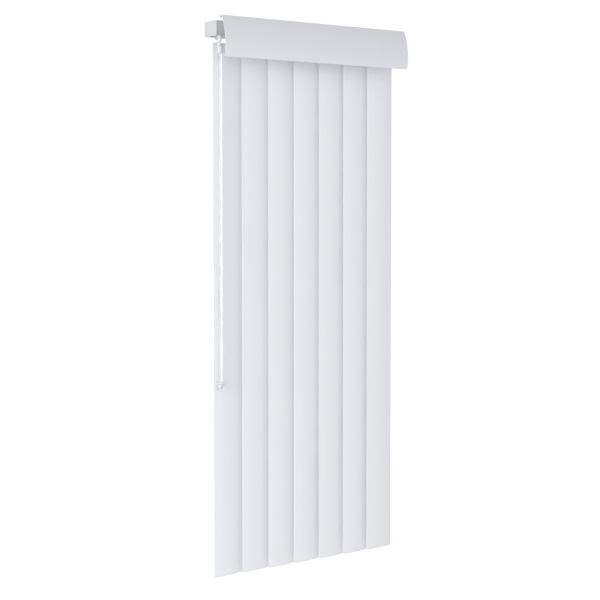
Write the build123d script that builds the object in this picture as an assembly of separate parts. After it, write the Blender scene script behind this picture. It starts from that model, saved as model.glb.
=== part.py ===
"""Vertical blind with seven plastic vanes, a headrail, a curved valance and a tilt wand.

Millimetres. X runs along the headrail, +Y points to the window wall, the room is at -Y and
+Z is up. The origin is in the ceiling plane, half way between the two mounting clips, above
the line on which the vanes hang.
"""
import math
import os

from build123d import *

# ---------------------------------------------------------------- vanes
vane_count = 7
vane_width = 89.0
vane_length = 1215.0
vane_thickness = 0.6
vane_sagitta = 3.0            # how far the curved strip bows towards the room
vane_overlap = 14.0           # cover of one closed vane over the next
lead_gap_extra = 4.5          # the lead carrier is longer, so its vane stands further off
rest_tilt = 7.5               # degrees from the rail when the blind is closed
vane_corner = 3.0
vane_hole_width = 14.0
vane_hole_height = 4.5
vane_hole_below_top = 6.0
vane_drop = 12.8              # vane top below the rail
vane_reach = vane_width / 2   # a turning vane reaches this far from its stem

# ---------------------------------------------------------------- headrail
rail_depth = 44.4
rail_height = 34.3
rail_wall = 1.4
rail_slot = 14.0
rail_end_margin = 46.8        # end stem to the cut end of the rail
rail_top_drop = 11.5          # rail top below the ceiling plane
rail_lip = 1.2                # outward lips that the clips hold
rail_lip_height = 1.5
foot_lip_height = 2.5
ledge_width = 1.9
ledge_thickness = 1.3

# ---------------------------------------------------------------- running fits and gaps
run_gap = 0.05                # radial clearance of a turning fit
slide_gap = 0.1               # gap under a sliding shoe
side_gap = 0.3                # gap beside pieces that pass each other
seat_gap = 0.05               # gap between pieces seated on one another

# ---------------------------------------------------------------- carriers
stack_pitch = 26.0            # carrier spacing when the blind is drawn
carrier_length = stack_pitch - 0.6
carrier_depth = rail_depth - 7.4
carrier_height = 13.0
shoe_height = 3.0
gear_floor = 4.1
lead_tail = 34.0              # lead stem to the left end of the lead carrier
wall_thin = 2.0

# ---------------------------------------------------------------- worm and stem wheel
wheel_teeth = 12
wheel_pitch_radius = 6.0
wheel_tip_radius = 6.7
wheel_root_radius = 5.1
wheel_thickness = 3.0
worm_pitch_radius = 4.8
worm_crest_radius = 5.5
worm_root_radius = 3.9
tooth_width = 1.2             # at the pitch line, on both wheel and worm
flank_angle = 20.0
worm_length = 13.0
journal_length = 2.6
rod_flats = 4.6
rod_clearance = 0.08

# ---------------------------------------------------------------- stems
stem_radius = 3.0
stem_collar = 5.0
fork_width = 7.0
fork_leg = 1.1
fork_gap = 0.1
fork_length = 14.0
hook_height = 3.75
hook_width = 6.0

# ---------------------------------------------------------------- spacer straps
strap_width = 7.0
strap_thickness = 0.5
strap_slope = 1.0 / 30.0
strap_overhang = 8.0
peg_radius = 1.5
peg_x = carrier_length / 2 - 2.2
cheek_height = 4.5
cheek_thickness = 1.5

# ---------------------------------------------------------------- wand
wand_left_of_lead = vane_reach + 2.9
wand_front_of_stems = 34.0
wand_radius = 4.6
wand_bottom = -841.0
arm_thickness = 4.2
arm_radius = 6.5
arm_drop = 2.1                # arm top below the rail
shaft_radius = 2.5
hub_radius = 4.4
hub_length = 8.2
ball_radius = 4.0
ball_drop = 13.7              # ball centre below the arm
neck_radius = 1.8
pin_radius = 1.2              # cross pin of the ball, which turns and carries the socket
pin_inset = 0.4
socket_radius = 6.2
socket_length = 22.0
socket_rise = 2.0             # socket rim above the ball centre
tip_length = 22.0
tip_radius = 9.5

# ---------------------------------------------------------------- valance
valance_inset = 3.55           # valance end to the cut end of the rail
valance_thickness = 1.6
valance_top = -1.0
valance_shift = -3.5          # the valance sits this far towards the wand
valance_height = 92.7
valance_profile = [           # distance in front of the stems, share of the height
    (vane_reach - 3.5, 0.00),
    (vane_reach + 5.2, 0.21),
    (vane_reach + 11.0, 0.50),
    (vane_reach + 12.5, 0.70),
    (vane_reach + 8.9, 1.00),
]
valance_return = 9.0
valance_bead = 3.6
valance_foot = 6.0
clip_width = 14.0
clip_wall = 1.6
clip_inset = 90.5             # valance clip to the valance end

# ---------------------------------------------------------------- ceiling clips and ends
mount_inset = 134.05          # ceiling screw to the cut end of the rail
mount_length = 44.0
mount_sheet = 1.2
mount_tab_inset = 3.7
mount_screw_radius = 2.5
cap_thickness = 2.0
cap_plug = 6.0
bearing_length = 9.0
bearing_radius = 5.5
stop_length = 9.0

# ---------------------------------------------------------------- worked-out levels
rail_top = -rail_top_drop
rail_bottom = rail_top - rail_height
track = rail_bottom + rail_wall
shoe_bottom = track + slide_gap
carrier_top = shoe_bottom + carrier_height
floor_top = shoe_bottom + gear_floor
collar_bottom = floor_top + slide_gap
wheel_bottom = collar_bottom + 1.0
drive_height = wheel_bottom + wheel_thickness / 2
rod_offset = wheel_pitch_radius + worm_pitch_radius
vane_top = rail_bottom - vane_drop
arm_top = rail_bottom - arm_drop
arm_bottom = arm_top - arm_thickness
ball_height = arm_bottom - ball_drop

# ---------------------------------------------------------------- places along the rail
vane_pitch = vane_width - vane_overlap
lead_pitch = vane_pitch + lead_gap_extra
stem_span = lead_pitch + (vane_count - 2) * vane_pitch
stem_places = [-stem_span / 2]
for number in range(1, vane_count):
    stem_places.append(-stem_span / 2 + lead_pitch + (number - 1) * vane_pitch)
rail_length = stem_span + 2 * rail_end_margin
valance_length = rail_length - 2 * valance_inset
clip_place = valance_length / 2 - clip_inset
mount_place = rail_length / 2 - mount_inset
wand_x = stem_places[0] - wand_left_of_lead
wand_y = -wand_front_of_stems


def block(x0, x1, y0, y1, z0, z1):
    """A box given by its two faces on each axis."""
    centre = Pos((x0 + x1) / 2, (y0 + y1) / 2, (z0 + z1) / 2)
    return centre * Box(x1 - x0, y1 - y0, z1 - z0)


def disc(radius, z0, z1, x=0.0, y=0.0):
    """An upright cylinder between two heights."""
    return Pos(x, y, (z0 + z1) / 2) * Cylinder(radius, z1 - z0)


def bore_along_rail(radius, x0, x1, y, z):
    """A cylinder along the rail between two places."""
    return Pos((x0 + x1) / 2, y, z) * Rot(0, 90, 0) * Cylinder(radius, x1 - x0)


def hexagon_bar(flats, x0, x1, y, z):
    """A six-sided bar along the rail, flats given across."""
    side_radius = flats / math.sqrt(3)
    outline = Plane.YZ * RegularPolygon(side_radius, 6)
    return Pos(x0, y, z) * extrude(outline, x1 - x0)


def turned(points):
    """A solid of revolution about Z from (radius, height) points."""
    outline = Plane.XZ * make_face(Polyline(*points, close=True))
    return revolve(outline, Axis.Z)


def save(shape, name):
    """Write one piece to its own STEP file."""
    shape.label = name
    export_step(shape, f"parts/{name}.step")


# ---------------------------------------------------------------- headrail
def make_headrail():
    """Extruded aluminium channel, slotted below, with ledges over the carrier shoes."""
    half = rail_length / 2
    wall_out = rail_depth / 2
    wall_in = wall_out - rail_wall
    rail = block(-half, half, -wall_out, wall_out, rail_bottom, rail_top)
    rail -= block(-half, half, -wall_in, wall_in, track, rail_top - rail_wall)
    rail -= block(-half, half, -rail_slot / 2, rail_slot / 2, rail_bottom, track)
    ledge_low = track + shoe_height + 2 * slide_gap + side_gap
    for side in (-1, 1):
        lip = sorted((side * wall_out, side * (wall_out + rail_lip)))
        rail += block(-half, half, *lip, rail_top - rail_lip_height, rail_top)
        rail += block(-half, half, *lip, rail_bottom, rail_bottom + foot_lip_height)
        ledge = sorted((side * wall_in, side * (wall_in - ledge_width)))
        rail += block(-half, half, *ledge, ledge_low, ledge_low + ledge_thickness)
    return rail


def make_end_cap():
    """Moulded cap for the left end: plate, plug inside the rail and rod bearing."""
    end = -rail_length / 2
    outer = rail_depth / 2 + rail_lip
    face = Plane.YZ * RectangleRounded(2 * outer, rail_height, 2.0)
    plate_x = end - seat_gap - cap_thickness
    cap = Pos(plate_x, 0, (rail_top + rail_bottom) / 2) * extrude(face, cap_thickness)
    inside = rail_depth / 2 - rail_wall - slide_gap
    plug_low = track + slide_gap
    plug_high = rail_top - rail_wall - slide_gap
    plug_x = plate_x + cap_thickness
    plug_end = end + cap_plug
    plug = block(plug_x, plug_end, -inside, inside, plug_low, plug_high)
    hollow = inside - clip_wall
    plug -= block(plug_x, plug_end, -hollow, hollow, plug_low + clip_wall, plug_high - clip_wall)
    ledge_low = track + shoe_height + 2 * slide_gap + side_gap
    ledge_in = rail_depth / 2 - rail_wall - ledge_width
    for side in (-1, 1):
        notch = sorted((side * (ledge_in - slide_gap), side * (rail_depth / 2)))
        low = ledge_low - slide_gap
        high = ledge_low + ledge_thickness + slide_gap
        plug -= block(plug_x, plug_end, *notch, low, high)
    plug += block(plug_x, plug_end, -inside, inside, plug_low, plug_low + clip_wall)
    cap += plug
    boss_end = plug_x + bearing_length
    cap += bore_along_rail(bearing_radius, plug_x - 1.0, boss_end, rod_offset, drive_height)
    journal = rod_flats / 2 + run_gap
    cap -= bore_along_rail(journal, plug_x, boss_end, rod_offset, drive_height)
    return cap


def make_mount_clip():
    """Folded spring-steel clip: screwed to the ceiling, its legs hook under the rail lips."""
    half = mount_length / 2
    leg_in = rail_depth / 2 + rail_lip + side_gap
    leg_out = leg_in + mount_sheet
    clip = block(-half, half, -leg_out, leg_out, -mount_sheet, 0)
    lip_under = rail_top - rail_lip_height - side_gap
    spacer_half = leg_in - mount_tab_inset
    for side in (-1, 1):
        leg = sorted((side * leg_in, side * leg_out))
        clip += block(-half, half, *leg, lip_under - mount_sheet, -mount_sheet)
        hook = sorted((side * (rail_depth / 2 + side_gap), side * leg_out))
        clip += block(-half, half, *hook, lip_under - mount_sheet, lip_under)
        tab = sorted((side * (half - mount_sheet), side * half))
        clip += block(*tab, -spacer_half, spacer_half, rail_top + seat_gap, -mount_sheet)
    clip -= disc(mount_screw_radius, -mount_sheet - 1, 1)
    return clip


# ---------------------------------------------------------------- valance
def profile_points(offset):
    """Valance curve moved towards the wall by offset, as (y, z) from top to bottom."""
    points = []
    last = len(valance_profile) - 1
    for number, (front, share) in enumerate(valance_profile):
        before = valance_profile[max(number - 1, 0)]
        after = valance_profile[min(number + 1, last)]
        step_y = -(after[0] - before[0])
        step_z = -(after[1] - before[1]) * valance_height
        size = math.hypot(step_y, step_z)
        y = -front - step_z / size * offset
        z = valance_top - share * valance_height + step_y / size * offset
        points.append((y, z))
    return points


def curved_strip(outer_offset, inner_offset, first=0):
    """Closed outline between two offsets of the valance curve."""
    outer = profile_points(outer_offset)[first:]
    inner = profile_points(inner_offset)[first:]
    edges = [
        Spline(*outer),
        Line(outer[-1], inner[-1]),
        Spline(*inner),
        Line(inner[0], outer[0]),
    ]
    return make_face(edges)


def along_rail(outline, width):
    """Extrude a (y, z) outline along the rail, centred."""
    return Pos(-width / 2, 0, 0) * extrude(Plane.YZ * outline, width)


def make_valance():
    """Extruded plastic front with a return and bead above and a turned-in foot below."""
    half = valance_length / 2
    strip = along_rail(curved_strip(0.0, valance_thickness), valance_length)
    top_y = -valance_profile[0][0]
    low = valance_top - valance_height
    foot_y = -valance_profile[-1][0]
    thick = valance_thickness
    back = top_y + valance_return
    strip += block(-half, half, top_y + 0.5, back, valance_top - thick, valance_top)
    strip += block(-half, half, back - thick, back, valance_top - thick - valance_bead, valance_top)
    foot_back = foot_y + valance_foot
    strip += block(-half, half, foot_y + 0.3, foot_back, low, low + thick)
    strip += block(-half, half, foot_back - thick, foot_back, low, low + thick + valance_bead)
    return strip


def make_valance_clip():
    """Moulded clip: snaps over both front lips of the rail and carries the valance."""
    front = -(rail_depth / 2 + rail_lip + side_gap)
    wall = clip_wall
    half = clip_width / 2
    over = rail_top + side_gap
    under = rail_bottom - side_gap
    clip = block(-half, half, front - wall, front, under - 1.2, over + 1.5)
    clip += block(-half, half, front - wall, front + 7.0, over, over + 1.5)
    clip += block(-half, half, front - wall, front + 4.0, under - 1.2, under)
    lip_under = rail_top - rail_lip_height - side_gap
    foot_over = rail_bottom + foot_lip_height + side_gap
    inner = -(rail_depth / 2 + side_gap)
    clip += block(-half, half, front - 0.5, inner, lip_under - 1.6, lip_under)
    clip += block(-half, half, front - 0.5, inner, foot_over, foot_over + 1.6)
    top_inner = -valance_profile[0][0] + valance_thickness + side_gap
    bead_front = -valance_profile[0][0] + valance_return - valance_thickness - side_gap
    post_top = valance_top - valance_thickness - side_gap
    clip += block(-half, half, bead_front - 2.4, front, over, over + 1.5)
    clip += block(-half, half, bead_front - 2.4, bead_front, over, post_top)
    clip += block(-half, half, top_inner + 1.2, bead_front, post_top - wall, post_top)
    gap = valance_thickness + side_gap
    tail = along_rail(curved_strip(gap, gap + wall, first=2), clip_width)
    start = profile_points(gap + wall / 2)[2]
    reach = [
        (front - 0.4, rail_bottom + 9.0),
        (front - 0.4, rail_bottom + 7.0),
        (start[0] - 0.5, start[1] - 2.0),
        (start[0] - 0.5, start[1] + 0.2),
    ]
    clip += tail
    clip += along_rail(make_face(Polyline(*reach, close=True)), clip_width)
    floor = valance_top - valance_height + valance_thickness + side_gap
    clip -= block(-half, half, -rail_depth * 2, front, floor - 10.0, floor)
    return clip


# ---------------------------------------------------------------- carriers
def carrier_shell(left, right):
    """Body block with shoes on the track and a keel in the slot."""
    half = carrier_depth / 2
    body = block(left, right, -half, half, shoe_bottom, carrier_top)
    reach = rail_depth / 2 - rail_wall - side_gap
    body += block(left, right, -reach, reach, shoe_bottom, shoe_bottom + shoe_height)
    keel = rail_slot / 2 - side_gap
    body += block(left, right, -keel, keel, rail_bottom + slide_gap, shoe_bottom)
    return body


def cut_drive_pockets(body):
    """Pockets for the stem wheel and the worm, and the worm's two bearings."""
    cell = wheel_tip_radius + 0.8
    body -= disc(cell, floor_top, carrier_top + 1)
    body -= disc(stem_radius + run_gap, rail_bottom - 1, carrier_top)
    half = worm_length / 2 + slide_gap
    reach = worm_crest_radius + side_gap
    low = drive_height - reach
    body -= block(-half, half, 0, rod_offset + reach, low, carrier_top + 1)
    end = carrier_length / 2 + lead_tail
    bearing = worm_root_radius + run_gap
    wall_end = half + journal_length + slide_gap
    body -= bore_along_rail(bearing, -wall_end, wall_end, rod_offset, drive_height)
    clear = rod_flats / math.sqrt(3) + 2 * side_gap
    body -= bore_along_rail(clear, -end, end, rod_offset, drive_height)
    return body


def strap_guides(left, right):
    """Cheeks beside the spacer straps, and the peg that holds this carrier's own strap."""
    inner = strap_width / 2 + side_gap
    outer = inner + cheek_thickness
    cheek_top = carrier_top + cheek_height
    guides = disc(peg_radius, carrier_top - 1, carrier_top + strap_thickness, x=peg_x)
    for side in (-1, 1):
        span = sorted((side * inner, side * outer))
        guides += block(left, left + 3.5, *span, carrier_top - 1, cheek_top)
        guides += block(right - 3.5, right, *span, carrier_top - 1, cheek_top)
    return guides


def make_carrier():
    """One moulded carrier that hangs a vane stem and slides in the rail."""
    half = carrier_length / 2
    body = cut_drive_pockets(carrier_shell(-half, half))
    return body + strap_guides(-half, half)


def make_lead_carrier():
    """Longer carrier with a neck through the slot and an arm that carries the wand."""
    half = carrier_length / 2
    body = carrier_shell(-lead_tail, half)
    tray = carrier_depth / 2 - wall_thin
    tray_left = -lead_tail + wall_thin
    tray_low = shoe_bottom + gear_floor / 2
    body -= block(tray_left, -half, -tray, tray, tray_low, carrier_top + 1)
    body = cut_drive_pockets(body)
    body += strap_guides(-half, half)
    neck_half = rail_slot / 2 - side_gap
    neck_right = -half - 9.0
    body += block(-lead_tail, neck_right, -neck_half, neck_half, arm_top - 1, shoe_bottom + 1)
    neck_x = (neck_right - lead_tail) / 2
    dx = -wand_left_of_lead - neck_x
    dy = -wand_front_of_stems
    reach = math.hypot(dx, dy)
    heading = math.degrees(math.atan2(dy, dx))
    arm = Rot(0, 0, heading) * SlotCenterToCenter(reach, 2 * arm_radius)
    outline = Pos(neck_x + dx / 2, dy / 2) * arm
    body += Pos(0, 0, arm_bottom) * extrude(outline, arm_thickness)
    bore = shaft_radius + run_gap
    body -= disc(bore, arm_bottom - 1, arm_top + 1, x=-wand_left_of_lead, y=-wand_front_of_stems)
    return body


def make_spacer(pitch):
    """Sprung strap: its eye sits on one carrier's peg and its tail rides over the next."""
    length = pitch + strap_overhang
    slope = math.degrees(math.atan(strap_slope))
    half = strap_width / 2
    strap = block(-length, 1.9, -half, half, 0, strap_thickness)
    strap -= disc(peg_radius + slide_gap, -1, 1)
    return Pos(peg_x, 0, carrier_top + 2 * seat_gap) * Rot(0, slope, 0) * strap


# ---------------------------------------------------------------- drive
def make_worm():
    """Single-start worm with two journals and a hexagon bore for the tilt rod."""
    lead = 2 * math.pi * wheel_pitch_radius / wheel_teeth
    slant = math.tan(math.radians(flank_angle))
    deep = 0.15
    root_half = tooth_width / 2 + (worm_pitch_radius - worm_root_radius + deep) * slant
    crest_half = tooth_width / 2 - (worm_crest_radius - worm_pitch_radius) * slant
    run = worm_length - 2 * root_half - 0.4
    path = Helix(lead, run, worm_root_radius)
    start = path @ 0
    outline_plane = Plane(origin=start, x_dir=(1, 0, 0), z_dir=path % 0)
    height = worm_crest_radius - worm_root_radius
    points = [(-deep, -root_half), (height, -crest_half), (height, crest_half), (-deep, root_half)]
    outline = outline_plane * make_face(Polyline(*points, close=True))
    thread = sweep(outline, path=path, is_frenet=True)
    middle_angle = 360 * (run / 2) / lead
    thread = Rot(0, 0, -90 - middle_angle) * Pos(0, 0, -run / 2) * thread
    whole = worm_length + 2 * journal_length
    worm = Cylinder(worm_root_radius, whole) + thread
    worm = Rot(0, 90, 0) * worm
    bar = rod_flats + 2 * rod_clearance
    worm -= hexagon_bar(bar, -whole, whole, 0, 0)
    return Pos(0, rod_offset, drive_height) * worm


def make_wheel():
    """Toothed wheel of the stem, a tooth space facing the worm."""
    slant = math.tan(math.radians(flank_angle))
    rows = (
        (wheel_root_radius, tooth_width / 2 + (wheel_pitch_radius - wheel_root_radius) * slant),
        (wheel_tip_radius, tooth_width / 2 - (wheel_tip_radius - wheel_pitch_radius) * slant),
    )
    points = []
    for number in range(wheel_teeth):
        centre = math.radians(90 + (number + 0.5) * 360 / wheel_teeth)
        for radius, half in (rows[0], rows[1]):
            turn = centre - math.asin(half / radius)
            points.append((radius * math.cos(turn), radius * math.sin(turn)))
        for radius, half in (rows[1], rows[0]):
            turn = centre + math.asin(half / radius)
            points.append((radius * math.cos(turn), radius * math.sin(turn)))
    outline = make_face(Polyline(*points, close=True))
    return Pos(0, 0, wheel_bottom) * extrude(outline, wheel_thickness)


def make_stem():
    """Moulded stem: wheel above, a shaft through the carrier and a forked hook below."""
    stem = make_wheel()
    stem += disc(stem_collar, collar_bottom, wheel_bottom + 0.5)
    stem += disc(stem_radius, wheel_bottom, wheel_bottom + wheel_thickness + 1.2)
    yoke_low = vane_top + side_gap
    yoke_high = yoke_low + 4.7
    stem += disc(stem_radius, yoke_high - 0.5, wheel_bottom + 0.5)
    inner = vane_thickness / 2 + fork_gap
    outer = inner + fork_leg
    half = fork_width / 2
    low = yoke_low - fork_length
    fork = block(-half, half, -outer, outer, low, yoke_high)
    fork -= block(-half, half, -inner, inner, low, yoke_low)
    hole_top = vane_top - vane_hole_below_top
    hook_top = hole_top - seat_gap
    hook_half = hook_width / 2
    fork += block(-hook_half, hook_half, 0.2 - inner, inner, hook_top - hook_height, hook_top)
    return stem + Rot(0, 0, rest_tilt) * fork


def make_vane():
    """Curved plastic strip with a punched hanging hole, turned to its closed angle."""
    half = vane_width / 2
    radius = (half ** 2 + vane_sagitta ** 2) / (2 * vane_sagitta)
    spread = math.asin(half / radius)
    outer = radius + vane_thickness / 2
    inner = radius - vane_thickness / 2

    def on_arc(size, angle):
        return (size * math.sin(angle), radius - size * math.cos(angle))

    edges = [
        ThreePointArc(on_arc(outer, -spread), on_arc(outer, 0), on_arc(outer, spread)),
        Line(on_arc(outer, spread), on_arc(inner, spread)),
        ThreePointArc(on_arc(inner, spread), on_arc(inner, 0), on_arc(inner, -spread)),
        Line(on_arc(inner, -spread), on_arc(outer, -spread)),
    ]
    strip = Pos(0, 0, vane_top - vane_length) * extrude(make_face(edges), vane_length)
    sheet = Plane.XZ * RectangleRounded(vane_width + 0.3, vane_length, vane_corner)
    trim = Pos(0, 50, vane_top - vane_length / 2) * extrude(sheet, 100)
    strip = strip & trim
    hole_z = vane_top - vane_hole_below_top - vane_hole_height / 2
    hole = Plane.XZ * SlotOverall(vane_hole_width, vane_hole_height)
    strip -= Pos(0, 20, hole_z) * extrude(hole, 40)
    return Rot(0, 0, rest_tilt) * strip


def make_tilt_rod():
    """Hexagon rod through all the worms, with a round journal at each end."""
    end = rail_length / 2
    boss = end - bearing_length - side_gap
    rod = hexagon_bar(rod_flats, -boss, boss, rod_offset, drive_height)
    tip = end - side_gap
    rod += bore_along_rail(rod_flats / 2, -tip, tip, rod_offset, drive_height)
    return rod


def make_end_stop():
    """Moulded block that stops the last carrier."""
    left = stem_places[-1] + carrier_length / 2 + side_gap
    half = rail_slot / 2 - slide_gap
    wide = rail_depth / 2 - rail_wall - slide_gap
    right = left + stop_length
    stop = block(left, right, -wide, wide, track + seat_gap, track + shoe_height)
    stop += block(left, right, -half, half, rail_bottom, track + 1)
    inner = carrier_depth / 2 - wall_thin
    stop += block(left, right, -inner, inner, track + 1, carrier_top)
    clear = rod_flats / math.sqrt(3) + 2 * side_gap
    stop -= bore_along_rail(clear, left - 1, right + 1, rod_offset, drive_height)
    return stop


# ---------------------------------------------------------------- wand
def cross_pin(radius, reach):
    """Cylinder through the middle of the ball, square to the rail."""
    return Pos(0, 0, ball_height) * Rot(90, 0, 0) * Cylinder(radius, 2 * reach)


def make_drive_shaft():
    """Short moulded shaft through the arm: head, hub, neck, and ball with a cross pin."""
    ball = Pos(0, 0, ball_height) * Sphere(ball_radius)
    head = disc(4.5, arm_top + slide_gap, arm_top + slide_gap + 1.2)
    shaft = disc(shaft_radius, arm_bottom - 1, arm_top + 0.5)
    hub = turned([
        (0, arm_bottom - slide_gap),
        (hub_radius, arm_bottom - slide_gap),
        (hub_radius, arm_bottom - hub_length + 2.0),
        (neck_radius, arm_bottom - hub_length),
        (0, arm_bottom - hub_length),
    ])
    neck = disc(neck_radius, ball_height, arm_bottom - hub_length + 0.5)
    pin = cross_pin(pin_radius, socket_radius - pin_inset)
    return Pos(wand_x, wand_y, 0) * (head + shaft + hub + neck + ball + pin)


def make_socket():
    """Split plastic socket that snaps over the ball and its pin and holds the wand below."""
    high = ball_height + socket_rise
    low = high - socket_length
    bore = wand_radius + run_gap
    socket = turned([
        (0, low),
        (socket_radius - 0.8, low),
        (socket_radius, low + 1.0),
        (socket_radius, high - 1.5),
        (socket_radius - 1.0, high),
        (0, high),
    ])
    socket -= Pos(0, 0, ball_height) * Sphere(ball_radius + run_gap)
    rim = math.sqrt((ball_radius + run_gap) ** 2 - socket_rise ** 2)
    socket -= disc(rim, ball_height + socket_rise - 0.3, high + 1)
    ring = low + 6.0
    socket -= disc(bore, low - 1, ring)
    socket -= disc(wand_radius - 0.5, ring - 1, ring + 2.6)
    socket -= disc(bore, ring + 1.6, low + 12.0)
    slit = Pos(0, -socket_radius, ball_height - 1.0) * Rot(0, 40, 0) * Box(1.0, 2 * 3.2, 11.0)
    socket -= slit
    socket -= cross_pin(pin_radius + run_gap, socket_radius + 1)
    return Pos(wand_x, wand_y, 0) * socket


def make_wand():
    """Clear rod with a snap groove near its top."""
    top = ball_height + socket_rise - socket_length + 12.0 - seat_gap
    groove = ball_height + socket_rise - socket_length + 5.8
    low = wand_bottom + 4.0
    slim = wand_radius - 0.6
    rod = turned([
        (0, low),
        (wand_radius, low),
        (wand_radius, groove),
        (slim, groove),
        (slim, groove + 2.0),
        (wand_radius, groove + 2.0),
        (wand_radius, top - 0.6),
        (wand_radius - 0.6, top),
        (0, top),
    ])
    return Pos(wand_x, wand_y, 0) * rod


def make_wand_tip():
    """Flared plastic grip pressed on the lower end of the wand."""
    high = wand_bottom + tip_length
    bore = wand_radius + seat_gap
    tip = turned([
        (0, wand_bottom),
        (tip_radius - 2.2, wand_bottom),
        (tip_radius - 0.6, wand_bottom + 0.8),
        (tip_radius, wand_bottom + 2.6),
        (tip_radius - 1.0, high - 9.0),
        (tip_radius - 2.0, high - 6.0),
        (wand_radius + 1.1, high - 4.5),
        (wand_radius + 1.1, high),
        (0, high),
    ])
    tip -= disc(bore, wand_bottom + 4.0 - seat_gap, high + 1)
    return Pos(wand_x, wand_y, 0) * tip


# ---------------------------------------------------------------- write every piece
os.makedirs("parts", exist_ok=True)

save(make_headrail(), "headrail")
left_cap = make_end_cap()
save(left_cap, "end_cap_left")
save(mirror(left_cap, about=Plane.YZ), "end_cap_right")
save(Pos(-mount_place, 0, 0) * make_mount_clip(), "mount_clip_left")
save(Pos(mount_place, 0, 0) * make_mount_clip(), "mount_clip_right")
save(Pos(valance_shift, 0, 0) * make_valance(), "valance")
valance_clip = make_valance_clip()
save(Pos(-clip_place, 0, 0) * valance_clip, "valance_clip_left")
save(Pos(0, 0, 0) * valance_clip, "valance_clip_middle")
save(Pos(clip_place, 0, 0) * valance_clip, "valance_clip_right")
save(make_tilt_rod(), "tilt_rod")
save(make_end_stop(), "end_stop")

carrier = make_carrier()
worm_piece = make_worm()
stem_piece = make_stem()
vane_piece = make_vane()
for number, place in enumerate(stem_places, start=1):
    at_stem = Pos(place, 0, 0)
    if number == 1:
        save(at_stem * make_lead_carrier(), "lead_carrier")
    else:
        pitch = place - stem_places[number - 2]
        save(at_stem * carrier, f"carrier_{number}")
        save(at_stem * make_spacer(pitch), f"spacer_{number - 1}")
    save(at_stem * worm_piece, f"worm_{number}")
    save(at_stem * stem_piece, f"stem_{number}")
    save(at_stem * vane_piece, f"vane_{number}")

save(make_drive_shaft(), "wand_drive_shaft")
save(make_socket(), "wand_socket")
save(make_wand(), "wand")
save(make_wand_tip(), "wand_tip")
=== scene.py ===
"""Vertical blind: a plastic vane blind worked by one clear wand, hung from a ceiling."""

import math

import bpy
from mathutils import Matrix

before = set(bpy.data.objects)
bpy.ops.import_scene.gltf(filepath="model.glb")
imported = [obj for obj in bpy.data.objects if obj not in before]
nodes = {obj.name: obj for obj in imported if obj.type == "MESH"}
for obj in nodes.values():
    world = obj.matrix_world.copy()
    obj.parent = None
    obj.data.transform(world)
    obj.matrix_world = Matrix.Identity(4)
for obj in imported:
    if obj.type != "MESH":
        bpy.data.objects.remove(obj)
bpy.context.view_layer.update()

# ---- headrail ------------------------------------------------------------------------
# The rail is an aluminium channel, extruded with inner ledges and outer lips and slotted
# below. It is stove-enamelled white, with faint die lines along its whole length. Its base
# colour is set a mid grey: painted shade that stands in for the valance's shadow on the
# rail's front face.


def add_die_lines_group():
    """Shader group: streaks that a die or a roller leaves along one direction."""
    group = bpy.data.node_groups.new("die_lines", "ShaderNodeTree")
    sockets = group.interface
    sockets.new_socket("Stretch", in_out="INPUT", socket_type="NodeSocketVector")
    sockets.new_socket("Base", in_out="INPUT", socket_type="NodeSocketColor")
    sockets.new_socket("Tone", in_out="INPUT", socket_type="NodeSocketFloat")
    sockets.new_socket("Gloss", in_out="INPUT", socket_type="NodeSocketFloat")
    sockets.new_socket("Colour", in_out="OUTPUT", socket_type="NodeSocketColor")
    sockets.new_socket("Roughness", in_out="OUTPUT", socket_type="NodeSocketFloat")
    sockets.new_socket("Height", in_out="OUTPUT", socket_type="NodeSocketFloat")
    tree = group.nodes
    link = group.links.new
    start = tree.new("NodeGroupInput")
    finish = tree.new("NodeGroupOutput")
    place = tree.new("ShaderNodeTexCoord")
    scaled = tree.new("ShaderNodeVectorMath")
    scaled.operation = "MULTIPLY"
    link(place.outputs["Object"], scaled.inputs[0])
    link(start.outputs["Stretch"], scaled.inputs[1])
    streaks = tree.new("ShaderNodeTexNoise")
    streaks.inputs["Scale"].default_value = 1.0
    streaks.inputs["Detail"].default_value = 4.0
    streaks.inputs["Roughness"].default_value = 0.6
    link(scaled.outputs[0], streaks.inputs["Vector"])
    cloud = tree.new("ShaderNodeTexNoise")
    cloud.inputs["Scale"].default_value = 9.0
    cloud.inputs["Detail"].default_value = 3.0
    link(place.outputs["Object"], cloud.inputs["Vector"])
    both = tree.new("ShaderNodeMath")
    both.operation = "ADD"
    link(streaks.outputs["Fac"], both.inputs[0])
    link(cloud.outputs["Fac"], both.inputs[1])
    swing = tree.new("ShaderNodeMath")
    swing.operation = "SUBTRACT"
    swing.inputs[1].default_value = 1.0
    link(both.outputs[0], swing.inputs[0])
    strength = tree.new("ShaderNodeMath")
    strength.operation = "MULTIPLY_ADD"
    strength.inputs[2].default_value = 1.0
    link(swing.outputs[0], strength.inputs[0])
    link(start.outputs["Tone"], strength.inputs[1])
    tinted = tree.new("ShaderNodeVectorMath")
    tinted.operation = "SCALE"
    link(start.outputs["Base"], tinted.inputs[0])
    link(strength.outputs[0], tinted.inputs["Scale"])
    link(tinted.outputs[0], finish.inputs["Colour"])
    shine = tree.new("ShaderNodeMath")
    shine.operation = "MULTIPLY_ADD"
    shine.inputs[1].default_value = 0.16
    link(swing.outputs[0], shine.inputs[0])
    link(start.outputs["Gloss"], shine.inputs[2])
    link(shine.outputs[0], finish.inputs["Roughness"])
    link(streaks.outputs["Fac"], finish.inputs["Height"])
    return group


die_lines = add_die_lines_group()


dust_colour = (0.47, 0.45, 0.42, 1.0)
dust_lies_above = 0.75
dust_grain = 240.0
dust_thinnest = 0.08
dust_thickest = 0.5


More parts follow.
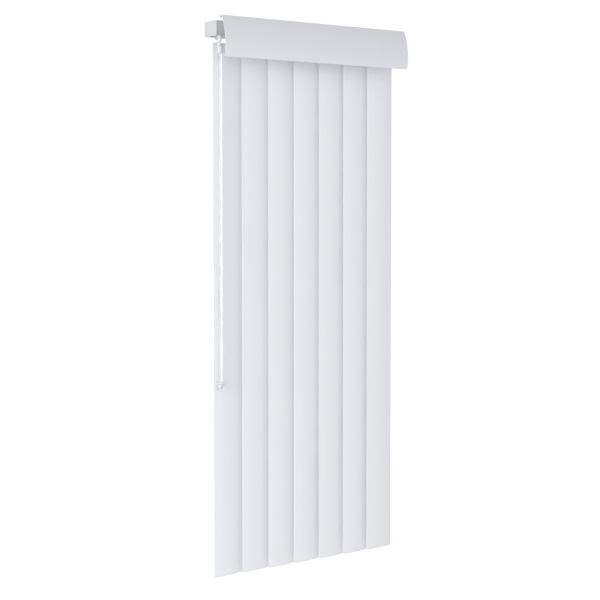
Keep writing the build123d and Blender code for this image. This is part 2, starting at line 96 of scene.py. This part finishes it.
def add_settled_dust_group():
    """Shader group: a thin film of dust that lies only on upward faces."""
    group = bpy.data.node_groups.new("settled_dust", "ShaderNodeTree")
    sockets = group.interface
    sockets.new_socket("Clean", in_out="INPUT", socket_type="NodeSocketColor")
    sockets.new_socket("Roughness", in_out="INPUT", socket_type="NodeSocketFloat")
    sockets.new_socket("Colour", in_out="OUTPUT", socket_type="NodeSocketColor")
    sockets.new_socket("Roughness", in_out="OUTPUT", socket_type="NodeSocketFloat")
    tree = group.nodes
    link = group.links.new
    start = tree.new("NodeGroupInput")
    finish = tree.new("NodeGroupOutput")
    facing = tree.new("ShaderNodeNewGeometry")
    axes = tree.new("ShaderNodeSeparateXYZ")
    link(facing.outputs["Normal"], axes.inputs[0])
    upward = tree.new("ShaderNodeMapRange")
    upward.inputs["From Min"].default_value = dust_lies_above
    upward.inputs["From Max"].default_value = 1.0
    link(axes.outputs["Z"], upward.inputs["Value"])
    grains = tree.new("ShaderNodeTexNoise")
    grains.inputs["Scale"].default_value = dust_grain
    grains.inputs["Detail"].default_value = 5.0
    place = tree.new("ShaderNodeTexCoord")
    link(place.outputs["Object"], grains.inputs["Vector"])
    film = tree.new("ShaderNodeMapRange")
    film.inputs["From Min"].default_value = 0.35
    film.inputs["From Max"].default_value = 0.75
    film.inputs["To Min"].default_value = dust_thinnest
    film.inputs["To Max"].default_value = dust_thickest
    link(grains.outputs["Fac"], film.inputs["Value"])
    amount = tree.new("ShaderNodeMath")
    amount.operation = "MULTIPLY"
    link(upward.outputs["Result"], amount.inputs[0])
    link(film.outputs["Result"], amount.inputs[1])
    dusted = tree.new("ShaderNodeMix")
    dusted.data_type = "RGBA"
    dusted.inputs["B"].default_value = dust_colour
    link(amount.outputs[0], dusted.inputs["Factor"])
    link(start.outputs["Clean"], dusted.inputs["A"])
    link(dusted.outputs["Result"], finish.inputs["Colour"])
    dulled = tree.new("ShaderNodeMath")
    dulled.operation = "ADD"
    link(start.outputs["Roughness"], dulled.inputs[0])
    link(amount.outputs[0], dulled.inputs[1])
    link(dulled.outputs[0], finish.inputs["Roughness"])
    return group


settled_dust = add_settled_dust_group()


def new_finish(name):
    """Empty node material with its Principled shader."""
    material = bpy.data.materials.new(name)
    material.use_nodes = True
    return material, material.node_tree, material.node_tree.nodes["Principled BSDF"]


def finish_surface(tree, shader, pattern, bump_strength, depth):
    """Feed a pattern group through the dust film to the shader, with its fine relief."""
    dust = tree.nodes.new("ShaderNodeGroup")
    dust.node_tree = settled_dust
    tree.links.new(pattern.outputs["Colour"], dust.inputs["Clean"])
    tree.links.new(pattern.outputs["Roughness"], dust.inputs["Roughness"])
    tree.links.new(dust.outputs["Colour"], shader.inputs["Base Color"])
    tree.links.new(dust.outputs["Roughness"], shader.inputs["Roughness"])
    bump = tree.nodes.new("ShaderNodeBump")
    bump.inputs["Strength"].default_value = bump_strength
    bump.inputs["Distance"].default_value = depth
    tree.links.new(pattern.outputs["Height"], bump.inputs["Height"])
    tree.links.new(bump.outputs["Normal"], shader.inputs["Normal"])


def extruded_finish(name, base, stretch, tone, gloss, depth, coat=0.0):
    """Painted or plain extrusion, streaked along its length."""
    material, tree, shader = new_finish(name)
    lines = tree.nodes.new("ShaderNodeGroup")
    lines.node_tree = die_lines
    lines.inputs["Stretch"].default_value = stretch
    lines.inputs["Base"].default_value = (*base, 1.0)
    lines.inputs["Tone"].default_value = tone
    lines.inputs["Gloss"].default_value = gloss
    finish_surface(tree, shader, lines, 0.25, depth)
    shader.inputs["Coat Weight"].default_value = coat
    shader.inputs["Coat Roughness"].default_value = 0.3
    return material, shader


weld_distance = 0.00001
bevel_segments = 2
bevel_angle = math.radians(40)


def dress(names, material, bevel=0.0):
    """Give CAD pieces their finish and, where it shows, a softened edge."""
    for name in names:
        piece = nodes[name]
        piece.data.materials.clear()
        piece.data.materials.append(material)
        if bevel:
            joined = piece.modifiers.new("joined", "WELD")
            joined.merge_threshold = weld_distance
            edge = piece.modifiers.new("edge", "BEVEL")
            edge.width = bevel
            edge.segments = bevel_segments
            edge.limit_method = "ANGLE"
            edge.angle_limit = bevel_angle


# The mid grey base is painted shade for the valance's shadow on the rail front, not the enamel's
# own white.
rail_enamel_painted_shade, _ = extruded_finish(
    "rail_enamel_painted_shade",
    base=(0.57, 0.58, 0.60),
    stretch=(4.0, 900.0, 900.0),
    tone=0.05,
    gloss=0.38,
    depth=0.00005,
    coat=0.15,
)
dress(["headrail"], rail_enamel_painted_shade)

# ---- end caps, carriers and end stop -------------------------------------------------
# Injection-moulded acetal, white and slightly waxy. The caps push into the rail's ends,
# the carriers slide on its ledges and the stop block keeps the last carrier in place.


def add_moulded_skin_group():
    """Shader group: the fine orange peel and faint tone changes of moulded plastic."""
    group = bpy.data.node_groups.new("moulded_skin", "ShaderNodeTree")
    sockets = group.interface
    sockets.new_socket("Base", in_out="INPUT", socket_type="NodeSocketColor")
    sockets.new_socket("Tone", in_out="INPUT", socket_type="NodeSocketFloat")
    sockets.new_socket("Gloss", in_out="INPUT", socket_type="NodeSocketFloat")
    sockets.new_socket("Scatter", in_out="INPUT", socket_type="NodeSocketFloat")
    sockets.new_socket("Colour", in_out="OUTPUT", socket_type="NodeSocketColor")
    sockets.new_socket("Roughness", in_out="OUTPUT", socket_type="NodeSocketFloat")
    sockets.new_socket("Height", in_out="OUTPUT", socket_type="NodeSocketFloat")
    tree = group.nodes
    link = group.links.new
    start = tree.new("NodeGroupInput")
    finish = tree.new("NodeGroupOutput")
    place = tree.new("ShaderNodeTexCoord")
    peel = tree.new("ShaderNodeTexNoise")
    peel.inputs["Scale"].default_value = 1400.0
    peel.inputs["Detail"].default_value = 2.0
    link(place.outputs["Object"], peel.inputs["Vector"])
    flow = tree.new("ShaderNodeTexNoise")
    flow.inputs["Scale"].default_value = 60.0
    flow.inputs["Detail"].default_value = 4.0
    link(place.outputs["Object"], flow.inputs["Vector"])
    swing = tree.new("ShaderNodeMath")
    swing.operation = "SUBTRACT"
    swing.inputs[1].default_value = 0.5
    link(flow.outputs["Fac"], swing.inputs[0])
    strength = tree.new("ShaderNodeMath")
    strength.operation = "MULTIPLY_ADD"
    strength.inputs[2].default_value = 1.0
    link(swing.outputs[0], strength.inputs[0])
    link(start.outputs["Tone"], strength.inputs[1])
    tinted = tree.new("ShaderNodeVectorMath")
    tinted.operation = "SCALE"
    link(start.outputs["Base"], tinted.inputs[0])
    link(strength.outputs[0], tinted.inputs["Scale"])
    link(tinted.outputs[0], finish.inputs["Colour"])
    shine = tree.new("ShaderNodeMath")
    shine.operation = "MULTIPLY_ADD"
    link(swing.outputs[0], shine.inputs[0])
    link(start.outputs["Scatter"], shine.inputs[1])
    link(start.outputs["Gloss"], shine.inputs[2])
    link(shine.outputs[0], finish.inputs["Roughness"])
    link(peel.outputs["Fac"], finish.inputs["Height"])
    return group


moulded_skin = add_moulded_skin_group()


def moulded_finish(name, base, tone, gloss, depth, scatter=0.3):
    """Moulded plastic with a fine skin."""
    material, tree, shader = new_finish(name)
    skin = tree.nodes.new("ShaderNodeGroup")
    skin.node_tree = moulded_skin
    skin.inputs["Base"].default_value = (*base, 1.0)
    skin.inputs["Tone"].default_value = tone
    skin.inputs["Gloss"].default_value = gloss
    skin.inputs["Scatter"].default_value = scatter
    finish_surface(tree, shader, skin, 0.2, depth)
    return material, shader


cap_edge = 0.0005
small_edge = 0.0003
moulding_scatter = (0.002, 0.002, 0.002)
white_acetal, acetal_shader = moulded_finish(
    "white_acetal", base=(0.62, 0.62, 0.66), tone=0.1, gloss=0.42, depth=0.00004
)
acetal_shader.inputs["Subsurface Weight"].default_value = 0.08
acetal_shader.inputs["Subsurface Radius"].default_value = moulding_scatter
carrier_names = ["lead_carrier"] + [f"carrier_{n}" for n in range(2, 8)]
dress(["end_cap_left", "end_cap_right"], white_acetal, bevel=cap_edge)
dress(carrier_names, white_acetal, bevel=small_edge)
dress(["end_stop"], white_acetal, bevel=small_edge)

# ---- ceiling clips and spacer straps -------------------------------------------------
# Both are cut and folded from bright spring steel, rolled lengthwise and left bare. The
# clips are screwed up to the ceiling and the straps keep the carriers one pitch apart.
spring_steel, steel_shader = extruded_finish(
    "spring_steel",
    base=(0.56, 0.56, 0.58),
    stretch=(30.0, 2200.0, 400.0),
    tone=0.2,
    gloss=0.32,
    depth=0.00002,
)
steel_shader.inputs["Metallic"].default_value = 1.0
dress(["mount_clip_left", "mount_clip_right"], spring_steel, bevel=small_edge)
dress([f"spacer_{n}" for n in range(1, 7)], spring_steel)

# ---- tilt rod and worms --------------------------------------------------------------
# The rod is a drawn hexagon bar of plain aluminium. Each worm is moulded from a tougher
# grey-white plastic and slides along the rod inside its carrier.
rod_metal, rod_shader = extruded_finish(
    "drawn_aluminium",
    base=(0.74, 0.74, 0.76),
    stretch=(8.0, 1600.0, 1600.0),
    tone=0.12,
    gloss=0.3,
    depth=0.00003,
)
rod_shader.inputs["Metallic"].default_value = 1.0
dress(["tilt_rod"], rod_metal)
worm_plastic, _ = moulded_finish(
    "worm_plastic", base=(0.66, 0.67, 0.68), tone=0.1, gloss=0.35, depth=0.00003
)
dress([f"worm_{n}" for n in range(1, 8)], worm_plastic)

# ---- stems ---------------------------------------------------------------------------
# One moulding each: a toothed wheel that the worm turns, a round shaft through the
# carrier, and a fork below with the nose that the vane's hole hangs on.
stem_plastic, stem_shader = moulded_finish(
    "stem_plastic", base=(0.84, 0.85, 0.85), tone=0.08, gloss=0.3, depth=0.00003
)
stem_shader.inputs["Subsurface Weight"].default_value = 0.12
stem_shader.inputs["Subsurface Radius"].default_value = moulding_scatter
dress([f"stem_{n}" for n in range(1, 8)], stem_plastic)

# ---- vanes ---------------------------------------------------------------------------
# Rigid PVC strip, extruded with a slight bow and cut to length. The face has a soft
# satin, with draw lines from top to bottom that only show in raking light.
sheet_scatter = (0.001, 0.001, 0.001)
vane_pvc, vane_shader = extruded_finish(
    "vane_pvc",
    base=(0.865, 0.875, 0.905),
    stretch=(500.0, 500.0, 2.5),
    tone=0.03,
    gloss=0.42,
    depth=0.00006,
)
vane_shader.inputs["Subsurface Weight"].default_value = 0.05
vane_shader.inputs["Subsurface Radius"].default_value = sheet_scatter
dress([f"vane_{n}" for n in range(1, 8)], vane_pvc)

# ---- valance and its clips -----------------------------------------------------------
# The valance is a wide bowed PVC extrusion with a return along the top and a foot along
# the bottom. Three clear clips snap over the rail's front lips and carry it.
valance_pvc, _ = extruded_finish(
    "valance_pvc",
    base=(0.73, 0.735, 0.785),
    stretch=(2.5, 420.0, 420.0),
    tone=0.03,
    gloss=0.36,
    depth=0.00006,
)
dress(["valance"], valance_pvc)
clear_plastic, clear_shader = moulded_finish(
    "clear_plastic", base=(0.95, 0.975, 0.965), tone=0.02, gloss=0.2, depth=0.00001, scatter=0.05
)
clear_shader.inputs["Transmission Weight"].default_value = 0.95
clear_shader.inputs["IOR"].default_value = 1.5
clip_names = ["valance_clip_left", "valance_clip_middle", "valance_clip_right"]
dress(clip_names, clear_plastic, bevel=small_edge)

# ---- wand ----------------------------------------------------------------------------
# A cast acrylic rod hangs from a split socket on the ball of the drive shaft. A flared
# grip of the same clear plastic is pressed on its lower end.
socket_plastic, _ = moulded_finish(
    "socket_plastic", base=(0.68, 0.69, 0.72), tone=0.06, gloss=0.36, depth=0.00003
)
dress(["wand_drive_shaft", "wand_socket"], socket_plastic, bevel=small_edge)
acrylic, acrylic_shader = moulded_finish(
    "acrylic", base=(0.95, 0.985, 0.975), tone=0.01, gloss=0.03, depth=0.000004, scatter=0.02
)
acrylic_shader.inputs["Transmission Weight"].default_value = 1.0
acrylic_shader.inputs["IOR"].default_value = 1.49
dress(["wand"], acrylic)
dress(["wand_tip"], clear_plastic)

# ---- floor, light and camera ---------------------------------------------------------
# A plain pale floor lies well below the blind. A broad soft lamp stands far out to the left
# of the camera, with weak light from all round.
floor_height = -2.2
bpy.ops.mesh.primitive_circle_add(
    vertices=96,
    radius=40.0,
    fill_type="NGON",
    location=(0, 0, floor_height),
)
floor = bpy.context.object
floor.name = "studio_floor"
floor_paint, floor_tree, floor_shader = new_finish("floor_paint")
speck = floor_tree.nodes.new("ShaderNodeTexNoise")
speck.inputs["Scale"].default_value = 3.0
shade = floor_tree.nodes.new("ShaderNodeMapRange")
shade.inputs["To Min"].default_value = 0.70
shade.inputs["To Max"].default_value = 0.74
floor_tree.links.new(speck.outputs["Fac"], shade.inputs["Value"])
floor_tree.links.new(shade.outputs["Result"], floor_shader.inputs["Base Color"])
floor_shader.inputs["Roughness"].default_value = 0.9
floor_shader.inputs["Emission Color"].default_value = (1.0, 1.0, 1.0, 1.0)
floor_glow = 0.35
floor_shown = 0.95
glow = floor_tree.nodes.new("ShaderNodeLightPath")
glow_strength = floor_tree.nodes.new("ShaderNodeMapRange")
glow_strength.inputs["To Min"].default_value = floor_glow
glow_strength.inputs["To Max"].default_value = floor_shown
floor_tree.links.new(glow.outputs["Is Camera Ray"], glow_strength.inputs["Value"])
floor_tree.links.new(glow_strength.outputs["Result"], floor_shader.inputs["Emission Strength"])
floor.data.materials.append(floor_paint)

backdrop_strength = 1.05
ambient_strength = 0.57
world = bpy.data.worlds.new("studio")
bpy.context.scene.world = world
world.use_nodes = True
sky = world.node_tree
backdrop = sky.nodes["Background"]
backdrop.inputs["Color"].default_value = (1.0, 1.0, 1.0, 1.0)
backdrop.inputs["Strength"].default_value = backdrop_strength
ambient = sky.nodes.new("ShaderNodeBackground")
ambient.inputs["Color"].default_value = (0.97, 0.98, 1.0, 1.0)
ambient.inputs["Strength"].default_value = ambient_strength
seen = sky.nodes.new("ShaderNodeLightPath")
direct = sky.nodes.new("ShaderNodeMath")
direct.operation = "MAXIMUM"
sky.links.new(seen.outputs["Is Camera Ray"], direct.inputs[0])
sky.links.new(seen.outputs["Is Transmission Ray"], direct.inputs[1])
choice = sky.nodes.new("ShaderNodeMixShader")
sky.links.new(direct.outputs[0], choice.inputs["Fac"])
sky.links.new(ambient.outputs[0], choice.inputs[1])
sky.links.new(backdrop.outputs[0], choice.inputs[2])
sky.links.new(choice.outputs[0], sky.nodes["World Output"].inputs["Surface"])


blind_middle = (0.0, 0.0, -0.6)


def soft_lamp(name, azimuth, rise, distance, size, power):
    """Square area lamp at an angle round the blind, aimed at its middle."""
    data = bpy.data.lights.new(name, "AREA")
    data.size = size
    data.energy = power
    lamp = bpy.data.objects.new(name, data)
    bpy.context.scene.collection.objects.link(lamp)
    turn = math.radians(azimuth)
    lamp.location = (
        blind_middle[0] + distance * math.sin(turn),
        blind_middle[1] - distance * math.cos(turn),
        blind_middle[2] + rise,
    )
    lean = math.atan2(distance, rise)
    lamp.rotation_euler = (lean, 0.0, turn)


soft_lamp("key_lamp", azimuth=-60.0, rise=0.6, distance=8.0, size=4.5, power=350.0)

camera_place = (-2.202, -2.8105, -0.4194)
camera_heading = math.radians(-37.8)
camera_dip = math.radians(2.537)

camera_data = bpy.data.cameras.new("camera")
camera_data.lens = 90.5
camera_data.sensor_width = 36.0
camera_data.shift_y = -0.05
camera_data.clip_end = 200.0
camera = bpy.data.objects.new("camera", camera_data)
bpy.context.scene.collection.objects.link(camera)
camera.location = camera_place
camera.rotation_euler = (math.radians(90.0) - camera_dip, 0.0, camera_heading)
bpy.context.scene.camera = camera
bpy.context.scene.view_settings.view_transform = "Standard"
